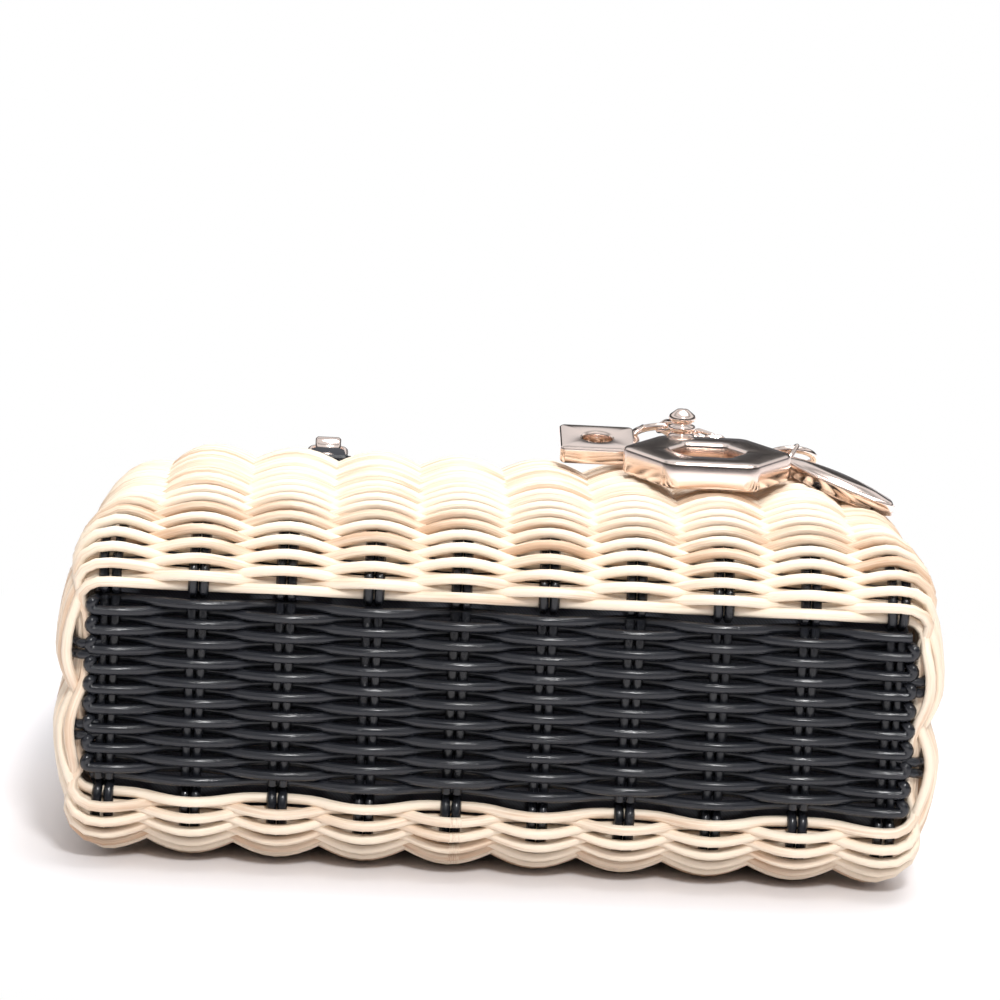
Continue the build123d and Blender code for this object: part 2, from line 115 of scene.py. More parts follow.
class FittingSettings(bpy.types.PropertyGroup):
    half_span: span("Half span", "From the middle to a handle's leg", 0.036)
    leg: span("Leg", "Straight part of a handle from its eye", 0.030)
    handle: span("Handle radius", "Radius of the rolled leather", 0.004)
    ferrule: span("Ferrule radius", "Radius of the metal ends", 0.0045)
    ferrule_length: span("Ferrule length", "Length of the metal ends", 0.009)
    eye: span("Eye radius", "Outer radius of the eyes", 0.0026)
    bore: span("Bore", "Radius of the bores in the eyes", 0.0013)
    wire: span("Wire radius", "Radius of the loops' wire", 0.0008)
    loop_width: span("Loop width", "Width of the loops", 0.009)
    tab_width: span("Tab width", "Width of the leather tabs", 0.011)
    tab_length: span("Tab length", "Length of a tab on the wall", 0.018)
    tab_thickness: span("Tab thickness", "Thickness of the tabs", 0.0016)
    clear: span("Clearance", "Gap between the wall and what lies on it", 0.0003)
    rivet: span("Rivet radius", "Radius of the rivet heads", 0.0015)
    thread: span("Thread radius", "Radius of the sewing thread", 0.00022)
    stitch: span("Stitch", "Length from stitch to stitch", 0.0026)
    ring: span("Ring radius", "Large ring of the charms", 0.0068)
    small_ring: span("Small ring radius", "Small ring of the charms", 0.0046)
    ring_wire: span("Ring wire", "Radius of the rings' wire", 0.00075)
    ring_tilt: FloatProperty(name="Ring tilt", description="How far the rings stand up from the wall",
                             default=radians(33), unit="ROTATION")
    strap_width: span("Strap width", "Width of the strap of the charms", 0.005)


class ColourSettings(bpy.types.PropertyGroup):
    reed_pale: colour("Pale reed", "Lightest natural reed", (0.90, 0.765, 0.61))
    reed_warm: colour("Warm reed", "Darker natural reed", (0.62, 0.405, 0.26))
    reed_dark: colour("Dark reed", "Dyed reed", (0.0105, 0.0115, 0.015))
    leather: colour("Leather", "Handles and tabs", (0.012, 0.013, 0.018))
    metal: colour("Metal", "Charms and fittings", (0.95, 0.80, 0.72))
    cloth: colour("Cloth", "Lining", (0.035, 0.038, 0.050))


def settings():
    scene = bpy.context.scene
    return scene.basket_shape, scene.basket_weave, scene.basket_colours, scene.basket_fittings


# Shape of the basket, the same curves as the solid part

class Basket:
    def __init__(self):
        shape, weave, _, _ = settings()
        self.s, self.w = shape, weave
        self.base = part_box("wall_weave")[0][1]

    def front(self, d):
        s = self.s
        if d < s.front_round:
            t = 1 - d / s.front_round
            rise = s.front_height - s.panel_centre - s.panel_height / 2 - s.border
            return s.front_height - rise + rise * sqrt(1 - t * t)
        flat, bend = s.front_round + 0.004, 0.055
        fall = (s.front_height - s.mouth_front) / (bend * bend / 2 + bend * (s.length - flat - bend))
        if d < flat:
            return s.front_height
        if d < flat + bend:
            return s.front_height - fall * (d - flat) ** 2 / 2
        return s.front_height - fall * bend * bend / 2 - fall * bend * (d - flat - bend)

    def back(self, d):
        s = self.s
        if d < s.back_round:
            t = 1 - d / s.back_round
            drop = s.panel_centre - s.panel_height / 2 - s.border
            return drop - drop * sqrt(1 - t * t)
        if d < s.length - s.back_lift:
            return 0.0
        return s.mouth_back * ((d - s.length + s.back_lift) / s.back_lift) ** 2

    def side(self, d):
        s = self.s
        if d < s.side_round:
            t = 1 - d / s.side_round
            swell = s.half_width - s.panel_width / 2 - s.border
            return s.half_width - swell + swell * sqrt(1 - t * t)
        if d < s.front_round:
            return s.half_width
        share = (d - s.front_round) / (s.length - s.front_round)
        return s.half_width - (s.half_width - s.mouth_half_width) * share ** 1.3

    def size(self, d, inset=0.0):
        half_x = self.side(d) - inset
        top, low = self.front(d) - inset, self.back(d) + inset
        half_z = (top - low) / 2
        r = min(self.s.corner_round - inset, 0.006 + 0.62 * d, half_z - 0.004)
        return half_x, half_z, (top + low) / 2, r

    def stakes(self, half_x, half_z, r):
        """Distances of one quarter's stakes along the outline, from the middle of the front."""
        w = self.w
        flat_x = half_x - r
        quarter = flat_x + r * pi / 2 + half_z - r
        found = []
        half = BASE_COLUMNS // 2
        for i in range(half):
            x = (i + 0.5) * w.stake_pitch * min(1.0, half_x / ((half - 0.5) * w.stake_pitch + 0.004))
            found.append(x if x < flat_x else flat_x + r * np.arcsin(min(1, (x - flat_x) / r)))
        found.append(quarter - min(w.side_stake, half_z - r + 0.004))
        return found, quarter

    def outline(self, d, places, inset=0.0):
        """Points of the section at a distance from the base, at places counted in stakes."""
        half_x, half_z, mid, r = self.size(d, inset)
        stakes, quarter = self.stakes(half_x, half_z, r)
        all_stakes = []
        for turn in range(4):
            order = stakes if turn % 2 == 0 else [quarter - s for s in reversed(stakes)]
            all_stakes += [turn * quarter + s for s in order]
        wrapped = [all_stakes[-1] - 4 * quarter] + all_stakes + [all_stakes[0] + 4 * quarter]
        run = np.interp(places, np.arange(-1, STAKES + 1), wrapped) % (4 * quarter)
        turn = np.floor(run / quarter)
        local = run - turn * quarter
        local = np.where(turn % 2 == 1, quarter - local, local)
        flat_x, flat_z = half_x - r, half_z - r
        angle = np.clip((local - flat_x) / r, 0, pi / 2)
        x = np.minimum(local, flat_x) + r * np.sin(angle)
        z = flat_z + r * np.cos(angle) - np.maximum(0, local - flat_x - r * pi / 2)
        x = np.where(turn < 2, x, -x)
        z = np.where((turn == 0) | (turn == 3), z, -z)
        return np.stack([x, np.full_like(x, self.base + d), mid + z], axis=-1)

    def meridians(self, places, last):
        """Points from the base to the rim at each place, with their distance along the wall."""
        depth = last * np.linspace(0, 1, 90) ** 2
        depth[0] = 1e-6
        grid = np.stack([self.outline(d, places) for d in depth], axis=1)
        step = np.linalg.norm(np.diff(grid, axis=1), axis=2)
        run = np.concatenate([np.zeros((len(places), 1)), np.cumsum(step, axis=1)], axis=1)
        return grid, run, depth

    def surface(self, places, shares, last):
        """Grid of points at shares of the way along the wall, and its outward normals."""
        grid, run, depth = self.meridians(places, last)
        out = np.empty((len(places), len(shares), 3))
        for i in range(len(places)):
            at = np.array(shares) * run[i, -1]
            for k in range(3):
                out[i, :, k] = np.interp(at, run[i], grid[i, :, k])
        along = np.gradient(out, axis=1)
        around = np.roll(out, -1, axis=0) - np.roll(out, 1, axis=0)
        normal = np.cross(around, along)
        normal /= np.linalg.norm(normal, axis=2, keepdims=True)
        centre = np.array([0, 0, self.s.panel_centre])
        away = out - centre
        away[:, :, 1] = -0.02
        flip = np.sum(normal * away, axis=2, keepdims=True) < 0
        return out, np.where(flip, -normal, normal)


# Shared making of curves, meshes and materials

def outward(line, centre):
    """Unit vectors square to the bag's length, from a centre to the points of a line."""
    out = line - centre
    out[:, 1] = 0
    return out / np.linalg.norm(out, axis=1, keepdims=True)


def smoothed(bm, crease=None):
    """Smooth shading, with sharp edges where faces meet at more than the crease angle."""
    for face in bm.faces:
        face.smooth = True
    if crease:
        for edge in bm.edges:
            if len(edge.link_faces) == 2 and edge.calc_face_angle(0) > crease:
                edge.smooth = False
    return bm


def put(shape, name, body, slot, replaces=(), finish=None):
    """A piece of the bag from a mesh or a bmesh, with the finish of its slot unless another is named."""
    mesh = shape
    if isinstance(shape, bmesh.types.BMesh):
        mesh = bpy.data.meshes.new(name)
        shape.to_mesh(mesh)
        shape.free()
    mesh.name = name
    mesh.materials.clear()
    mesh.materials.append(finish_of(finish or slot))
    piece = bpy.data.objects.new(name, mesh)
    bpy.context.scene.collection.objects.link(piece)
    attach(piece, body)
    if replaces:
        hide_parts(*replaces)


def distances(path):
    """Distance along a path to each of its points."""
    return np.concatenate([[0], np.cumsum(np.linalg.norm(np.diff(path, axis=0), axis=1))])


def reeds(paths, radius, closed, sides=2, tone_seed=1):
    """Round reeds along paths, as one mesh with a tone for each reed."""
    curve = bpy.data.curves.new("reeds", "CURVE")
    curve.dimensions = "3D"
    curve.bevel_depth = radius
    curve.bevel_resolution = sides
    curve.use_fill_caps = not closed
    for path in paths:
        spline = curve.splines.new("POLY")
        spline.points.add(len(path) - 1)
        flat = np.concatenate([path, np.ones((len(path), 1))], axis=1).astype(np.float32)
        spline.points.foreach_set("co", flat.ravel())
        spline.use_cyclic_u = closed
        spline.use_smooth = True
    holder = bpy.data.objects.new("reeds", curve)
    bpy.context.scene.collection.objects.link(holder)
    bpy.context.view_layer.update()
    mesh = bpy.data.meshes.new_from_object(holder.evaluated_get(bpy.context.evaluated_depsgraph_get()))
    bpy.data.objects.remove(holder)
    bpy.data.curves.remove(curve)
    rng = random.Random(tone_seed)
    around = 2 * (sides + 2)
    turn = np.arange(around) * 2 * pi / around
    rim = np.stack([np.cos(turn), np.sin(turn)], axis=1)
    fibre, tone = [], []
    for path in paths:
        run = distances(path) + rng.random() * 7
        if not closed:
            run = np.concatenate([[run[-1], run[0]], run])
        block = np.empty((len(run), around, 3))
        block[:, :, 0] = run[:, None]
        block[:, :, 1:] = rim
        fibre.append(block.reshape(-1, 3))
        tone += [rng.random()] * (len(run) * around)
    if len(tone) != len(mesh.vertices):
        raise RuntimeError(f"reed mesh has {len(mesh.vertices)} vertices, expected {len(tone)}")
    mesh.attributes.new("tone", "FLOAT", "POINT").data.foreach_set("value", tone)
    fibres = mesh.attributes.new("fibre", "FLOAT_VECTOR", "POINT")
    fibres.data.foreach_set("vector", np.concatenate(fibre).ravel())
    return mesh


def wire(tree, node, inputs):
    """Sets a node's inputs, or links them where the value is a socket."""
    for key, value in inputs.items():
        if isinstance(value, bpy.types.NodeSocket):
            tree.links.new(value, node.inputs[key])
        else:
            node.inputs[key].default_value = value


def add(tree, kind, inputs=None, **choices):
    node = tree.nodes.new("ShaderNode" + kind)
    for key, value in choices.items():
        setattr(node, key, value)
    wire(tree, node, inputs or {})
    return node


def ramp(tree, fac, first, *between, last):
    """Colours from the first (position, colour) to the last."""
    node = add(tree, "ValToRGB", {"Fac": fac})
    elements = node.color_ramp.elements
    for element, (position, tint) in zip(list(elements), (first, last)):
        element.position, element.color = position, (*tint, 1)
    for position, tint in between:
        elements.new(position).color = (*tint, 1)
    return node.outputs["Color"]


def shades(tree, fac, tint, low, high):
    return ramp(tree, fac, (0.0, [c * low for c in tint]), last=(1.0, [c * high for c in tint]))


def bump(tree, height, strength, distance):
    node = add(tree, "Bump", {"Strength": strength, "Distance": distance, "Height": height})
    return node.outputs["Normal"]


def noise(tree, vector, scale, detail=2.0):
    return add(tree, "TexNoise", {"Vector": vector, "Scale": scale, "Detail": detail}).outputs["Fac"]


def twill(tree, vector):
    return add(tree, "TexWave", {"Vector": vector, "Scale": 900}, bands_direction="DIAGONAL").outputs["Fac"]


def new_material(name):
    material = bpy.data.materials.new(name)
    material.use_nodes = True
    return material, material.node_tree, material.node_tree.nodes["Principled BSDF"]


def reed_material(name, low, high, roughness, coat, glint, ior=1.5):
    """Split reed: fine streaks along it, broad patches, and a tone for each reed."""
    material, tree, shader = new_material(name)
    fibre = add(tree, "Attribute", attribute_name="fibre").outputs["Vector"]
    tone = add(tree, "Attribute", attribute_name="tone").outputs["Fac"]

    def streaks(along, around, detail):
        stretch = add(tree, "VectorMath", {0: fibre, 1: (along, around, around)}, operation="MULTIPLY")
        return noise(tree, stretch.outputs["Vector"], 1.0, detail)

    fine, broad = streaks(60, 3.0, 5), streaks(45, 0.5, 3)
    patches = add(tree, "Math", {0: tone, 1: 0.45, 2: broad}, operation="MULTIPLY_ADD")
    total = add(tree, "Math", {0: fine, 1: 0.5, 2: patches.outputs[0]}, operation="MULTIPLY_ADD")
    rough = add(tree, "MapRange", {"Value": fine, "From Min": 0.3, "From Max": 0.7,
                                   "To Min": roughness - glint, "To Max": roughness + glint})
    wire(tree, shader, {
        "Base Color": ramp(tree, total.outputs[0], (0.66, low), last=(1.0, high)),
        "Roughness": rough.outputs["Result"],
        "Normal": bump(tree, fine, 0.5, 0.0003),
        "IOR": ior,
        "Coat Weight": coat,
        "Coat Roughness": 0.2,
    })
    return material


def leather_material():
    material, tree, shader = new_material("smooth leather")
    place = add(tree, "TexCoord").outputs["Object"]
    grain = add(tree, "TexVoronoi", {"Vector": place, "Scale": 1400}).outputs["Distance"]
    wire(tree, shader, {
        "Base Color": shades(tree, noise(tree, place, 90), settings()[2].leather, 0.7, 1.6),
        "Roughness": 0.42,
        "Normal": bump(tree, grain, 0.15, 0.0001),
    })
    return material


def metal_material():
    material, tree, shader = new_material("rose gold")
    cloud = noise(tree, add(tree, "TexCoord").outputs["Object"], 220)
    rough = add(tree, "MapRange", {"Value": cloud, "To Min": 0.10, "To Max": 0.20})
    wire(tree, shader, {
        "Base Color": (*settings()[2].metal, 1),
        "Roughness": rough.outputs["Result"],
        "Metallic": 1.0,
    })
    return material


def cloth_material():
    material, tree, shader = new_material("twill lining")
    wave = twill(tree, add(tree, "TexCoord").outputs["Object"])
    wire(tree, shader, {
        "Base Color": shades(tree, wave, settings()[2].cloth, 0.7, 1.3),
        "Roughness": 0.8,
        "Normal": bump(tree, wave, 0.2, 0.0001),
        "Sheen Weight": 0.3,
    })
    return material


def thread_material():
    material, tree, shader = new_material("waxed thread")
    wave = twill(tree, add(tree, "Attribute", attribute_name="fibre").outputs["Vector"])
    wire(tree, shader, {
        "Base Color": ramp(tree, wave, (0.0, (0.008, 0.009, 0.012)), last=(1.0, (0.04, 0.042, 0.05))),
        "Roughness": 0.5,
    })
    return material


def natural_material():
    colours = settings()[2]
    return reed_material("natural reed", colours.reed_warm, colours.reed_pale, 0.5, 0.1, 0.1)


def dyed_material():
    dark = settings()[2].reed_dark
    return reed_material("dyed reed", [c * 0.3 for c in dark], [c * 1.2 for c in dark], 0.18, 0.3, 0.08, 1.38)


makers = {
    "reed_natural": natural_material,
    "reed_dark": dyed_material,
    LEATHER: leather_material,
    METAL: metal_material,
    CLOTH: cloth_material,
    "thread": thread_material,
}
finishes = {}


def finish_of(name):
    """The material of a name, made at its first use."""
    if name not in finishes:
        finishes[name] = makers[name]()
    return finishes[name]


# Woven pieces

def wall_rows(basket):
    """Number of rows, and the row at which the dark reed starts."""
    last = basket.s.length - basket.s.rim_depth
    _, run, depth = basket.meridians(np.array([0.0]), last)
    count = int(round(run[0, -1] / basket.w.pitch))
    at = np.interp(basket.s.band_start, depth, run[0])
    return count, int(round(at / basket.w.pitch)), last


def weaving(place):
    """How far out a reed stands as it goes over and under the stakes, from 1 to -1."""
    swing = np.cos(pi * place)
    return np.sign(swing) * np.abs(swing) ** CREST_FULLNESS


def row_paths(basket, first, end, count, last):
    w = basket.w
    places = np.arange(0, STAKES * w.steps) / w.steps
    shares = [(row + 0.5) / count for row in range(first, end)]
    points, normals = basket.surface(places, shares, last)
    paths = []
    for n, row in enumerate(range(first, end)):
        dip = w.scallop * (1 - np.abs(np.cos(pi * places)) ** 1.5)
        depth = -(w.reed / 2 + w.wave) + w.wave * weaving(places + row + 1) - dip
        paths.append(np.roll(points[:, n] + normals[:, n] * depth[:, None], len(places) // 2, axis=0))
    return paths


class BASKET_OT_wall(bpy.types.Operator):
    """Natural reed of the walls"""
    bl_idname = "basket.wall"
    bl_label = "Natural walls"

    def execute(self, context):
        basket = Basket()
        count, band, last = wall_rows(basket)
        mesh = reeds(row_paths(basket, 0, band, count, last), basket.w.reed / 2, True, 2, 11)
        put(mesh, "natural_reeds", "bag", "reed_natural", ["wall_weave"])
        return {"FINISHED"}


class BASKET_OT_band(bpy.types.Operator):
    """Dark reed from the middle of the walls to the rim"""
    bl_idname = "basket.band"
    bl_label = "Dark band"

    def execute(self, context):
        basket = Basket()
        count, band, last = wall_rows(basket)
        mesh = reeds(row_paths(basket, band, count, count, last), basket.w.reed / 2, True, 2, 12)
        put(mesh, "dark_reeds", "bag", "reed_dark", ["band_weave"])
        return {"FINISHED"}


class BASKET_OT_wall_stakes(bpy.types.Operator):
    """Paired rods that the walls are woven on"""
    bl_idname = "basket.wall_stakes"
    bl_label = "Wall stakes"

    def execute(self, context):
        basket = Basket()
        w = basket.w
        last = basket.s.length - basket.s.rim_depth
        shares = np.linspace(0.004, 1.0, 26)
        half = w.stake_spacing / 2 / w.stake_pitch
        places = np.array([n + side * half for n in range(STAKES) for side in (-1, 1)])
        points, normals = basket.surface(places % STAKES, shares, last)
        fine = np.arange(0, STAKES * w.steps) / w.steps
        _, smooth = basket.surface(fine, shares, last)
        paths = []
        for i, place in enumerate(places):
            near = smooth[int(round(place * w.steps)) % len(fine)]
            rod = points[i] - near * (w.reed / 2 + w.wave)
            paths.append(np.concatenate([[rod[0] - near[0] * 0.0035], rod]))
        mesh = reeds(paths, w.stake_radius, False, 1, 13)
        put(mesh, "wall_stakes", "bag", "reed_dark")
        return {"FINISHED"}


class BASKET_OT_panel(bpy.types.Operator):
    """Dark woven base panel: one reed that goes to and fro over the stakes"""
    bl_idname = "basket.panel"
    bl_label = "Base panel"

    def execute(self, context):
        basket = Basket()
        s, w = basket.s, basket.w
        step = s.panel_height / w.panel_rows
        face = basket.base + PANEL_FACE + w.reed / 2
        end = s.panel_width / 2 - w.reed / 2 - step / 2 - 0.0002
        path = []
        for row in range(w.panel_rows):
            z = s.panel_centre - s.panel_height / 2 + step * (row + 0.5)
            xs = np.linspace(-end, end, 100)
            if row % 2:
                xs = xs[::-1]
            y = face + w.wave * (1 - weaving(xs / w.stake_pitch - 0.5 + row))
            path += [(x, yy, z) for x, yy in zip(xs, y)]
            if row < w.panel_rows - 1:
                side = 1 if row % 2 == 0 else -1
                bend = step / 2
                for a in np.linspace(0, pi, 8)[1:-1]:
                    path.append((side * (end + bend * sin(a)), path[-1][1], z + bend * (1 - cos(a))))
        mesh = reeds([np.array(path)], w.reed / 2, False, 3, 14)
        put(mesh, "panel_reeds", "bag", "reed_dark", ["base_panel"])
        return {"FINISHED"}


class BASKET_OT_panel_stakes(bpy.types.Operator):
    """Paired rods seen between the crests of the base panel"""
    bl_idname = "basket.panel_stakes"
    bl_label = "Base stakes"

    def execute(self, context):
        basket = Basket()
        s, w = basket.s, basket.w
        y = basket.base + PANEL_FACE + w.reed / 2 + w.wave
        low, high = s.panel_centre - s.panel_height / 2, s.panel_centre + s.panel_height / 2
        paths = []
        for i in range(BASE_COLUMNS):
            for side in (-1, 1):
                x = (i - (BASE_COLUMNS - 1) / 2) * w.stake_pitch + side * w.stake_spacing / 2
                paths.append(np.array([(x, y + 0.0004, low + 0.0005), (x, y, low + 0.002),
                                       (x, y, high - 0.002), (x, y + 0.0004, high - 0.0005)]))
        mesh = reeds(paths, w.stake_radius, False, 3, 15)
        put(mesh, "panel_rods", "bag", "reed_dark")
        return {"FINISHED"}


class BASKET_OT_rim(bpy.types.Operator):
    """Plaited dark rim"""
    bl_idname = "basket.rim"
    bl_label = "Rim"

    def execute(self, context):
        basket = Basket()
        s = basket.s
        places = np.arange(0, STAKES * 16) / 16
        line = basket.outline(s.length, places, 0.0022)
        line[:, 1] -= 0.0019
        out = outward(line, np.array([0, line[0, 1], (s.mouth_front + s.mouth_back) / 2]))
        paths = []
        for strand in range(4):
            turn = places * 2 * pi + strand * pi / 2
            path = line + out * (0.00105 * np.cos(turn))[:, None]
            path[:, 1] += 0.0009 * np.sin(turn)
            paths.append(path)
        mesh = reeds(paths, 0.0009, True, 2, 16)
        put(mesh, "rim_plait", "bag", "reed_dark", ["rim_border"])
        return {"FINISHED"}


# Leather, metal and cloth pieces

def swung(hinge, angle):
    """Frame at a hinge: across the bag, away from the hinge, and up from the two."""
    return Matrix(((1, 0, 0, hinge[0]), (0, cos(angle), -sin(angle), hinge[1]),
                   (0, sin(angle), cos(angle), hinge[2]), (0, 0, 0, 1)))


def moved(matrix, points):
    return np.array([tuple(matrix @ Vector(p)) for p in points])


def joint_place(name):
    return next(Vector(j["pos_m"]) for j in frame["joints"] if j["name"] == name)


def turned(profile, matrix, steps=32, axis=(0, 1, 0)):
    """A profile of (radius, distance) pairs spun round an axis of the frame given by the matrix."""
    bm = bmesh.new()
    axis = Vector(axis)
    side = Vector((0, 0, 1)) if abs(axis.z) < 0.5 else Vector((1, 0, 0))
    verts = [bm.verts.new(side * r + axis * t) for r, t in profile]
    edges = [bm.edges.new(pair) for pair in zip(verts, verts[1:])]
    bmesh.ops.spin(bm, geom=verts + edges, cent=(0, 0, 0), axis=axis, angle=2 * pi, steps=steps,
                   use_merge=True)
    bmesh.ops.remove_doubles(bm, verts=bm.verts, dist=1e-6)
    bmesh.ops.recalc_face_normals(bm, faces=bm.faces)
    bmesh.ops.transform(bm, matrix=matrix, verts=bm.verts)
    return smoothed(bm)


def joined(parts):
    """One bmesh of several."""
    whole = bmesh.new()
    for part in parts:
        mesh = bpy.data.meshes.new("part")
        part.to_mesh(mesh)
        part.free()
        whole.from_mesh(mesh)
        bpy.data.meshes.remove(mesh)
    return whole


def rounded_loop(width, height, corner, steps=5):
    """Closed path of a rounded rectangle about the origin."""
    points = []
    for turn, (sx, sy) in enumerate(((1, 1), (-1, 1), (-1, -1), (1, -1))):
        for i in range(steps + 1):
            a = pi / 2 * (turn + i / steps)
            points.append((sx * (width / 2 - corner) + corner * cos(a),
                           sy * (height / 2 - corner) + corner * sin(a), 0))
    return points


def sewn(points, offset, lift, thread, pitch):
    """Stitches of a thread along a line: short rounded lengths that dip at both ends."""
    run = distances(points)
    count = max(2, int(run[-1] / pitch))
    stitches = []
    for i in range(count):
        shares = (i + np.array([0.12, 0.2, 0.8, 0.88])) / count * run[-1]
        place = np.stack([np.interp(shares, run, points[:, k] + offset[:, k]) for k in range(3)], axis=1)
        up = np.stack([np.interp(shares, run, lift[:, k]) for k in range(3)], axis=1)
        stitches.append(place + up * np.array([-thread, thread * 0.6, thread * 0.6, -thread])[:, None])
    return stitches


def tab_line(front):
    """Middle line of a tab: along the wall, past the rim, round the eye and back under itself."""
    basket, f = Basket(), settings()[3]
    side = 1 if front else -1
    edge = basket.front if front else basket.back
    end = basket.s.length
    lift = side * (f.clear + f.tab_thickness * 0.5)
    a, b = edge(end - f.tab_length) + lift, edge(end) + lift
    eye = joint_place("front_loops_swing" if front else "back_loops_swing")
    points = [(0, basket.base + end - f.tab_length * (1 - t), a + (b - a) * t) for t in np.linspace(0, 1, 10)]
    ring = f.bore + f.tab_thickness * 0.45
    for t in np.linspace(radians(100), radians(-110), 12):
        points.append((0, eye.y + ring * cos(t), eye.z + side * ring * sin(t)))
    return np.array(points)


def ribbon(line, widths, thickness, up_first):
    """A strip of leather along a line in the YZ plane, with rounded long edges."""
    bm = bmesh.new()
    bmesh.ops.create_grid(bm, x_segments=6, y_segments=len(line) - 1, size=0.5)
    for vert in bm.verts:
        row = int(round((vert.co.y + 0.5) * (len(line) - 1)))
        vert.co = Vector(line[row]) + Vector((vert.co.x * widths[row], 0, 0))
    bmesh.ops.recalc_face_normals(bm, faces=bm.faces)
    bm.faces.ensure_lookup_table()
    if bm.faces[0].normal.dot(up_first) < 0:
        bmesh.ops.reverse_faces(bm, faces=bm.faces)
    bm.normal_update()
    for vert in bm.verts:
        vert.co += vert.normal * thickness / 2
    bmesh.ops.solidify(bm, geom=list(bm.faces), thickness=thickness)
    rims = [e for e in bm.edges if len(e.link_faces) == 2 and e.calc_face_angle(0) > radians(50)]
    bmesh.ops.bevel(bm, geom=rims, offset=thickness * 0.28, offset_type="OFFSET", segments=2, profile=0.5,
                    affect="EDGES", material=-1)
    return smoothed(bm)


class BASKET_OT_tabs(bpy.types.Operator):
    """Leather tabs with sewn edges, folded round the loops"""
    bl_idname = "basket.tabs"
    bl_label = "Tabs"

    def execute(self, context):
        f = settings()[3]
        for front, words in ((True, "front"), (False, "back")):
            line = tab_line(front)
            up = Vector((0, 0, 1 if front else -1))
            wide = f.tab_width
            widths = np.interp(np.arange(len(line)), [0, 1, 8, 11], [wide * 0.8, wide, wide, TAB_END])
            for x, side in ((-f.half_span, "left"), (f.half_span, "right")):
                place = line + np.array([x, 0, 0])
                put(ribbon(place, widths, f.tab_thickness * 0.9, up), f"tab_{words}_{side}_leather",
                    "bag", LEATHER, [f"tab_{words}_{side}"])
                rows = slice(0, 9)
                lift = np.tile(np.array(up), (9, 1))
                threads = []
                for edge in (-1, 1):
                    offset = np.array([edge * (wide / 2 - 0.0012), 0, 0]) + lift * f.tab_thickness * 0.45
                    threads += sewn(place[rows], offset, lift, f.thread, f.stitch * 0.8)
                put(reeds(threads, f.thread, False, 1, 21), f"tab_{words}_{side}_stitches", "bag", LEATHER,
                    finish="thread")
        return {"FINISHED"}


class BASKET_OT_rivets(bpy.types.Operator):
    """Domed rivet heads on the tabs"""
    bl_idname = "basket.rivets"
    bl_label = "Rivets"

    def execute(self, context):
        f = settings()[3]
        heads = []
        for front in (True, False):
            line = tab_line(front)
            side = 1 if front else -1
            for from_end in (f.tab_length - 0.004, 0.005):
                y = line[9][1] - from_end
                z = np.interp(y, line[:10, 1], line[:10, 2]) + side * f.tab_thickness * 0.42
                slope = atan2(line[9][2] - line[0][2], line[9][1] - line[0][1])
                r = f.rivet
                dome = [(r, 0), (r, 0.0002), (r * 0.92, 0.00042), (r * 0.7, 0.00062), (r * 0.35, 0.00074),
                        (0, 0.00078)]
                for x in (-f.half_span, f.half_span):
                    turn = swung((x, y, z), slope + (0 if front else pi))
                    heads.append(turned(dome, turn, 20, (0, 0, 1)))
        put(joined(heads), "rivet_heads", "bag", METAL, ["rivets"])
        return {"FINISHED"}


def handle_frame(name):
    f = settings()[3]
    hinge = joint_place(f"{name}_handle_swing")
    reach = f.leg + f.half_span
    return swung((0, hinge.y, hinge.z), -np.arcsin((hinge.z - f.handle - 0.0001) / reach))


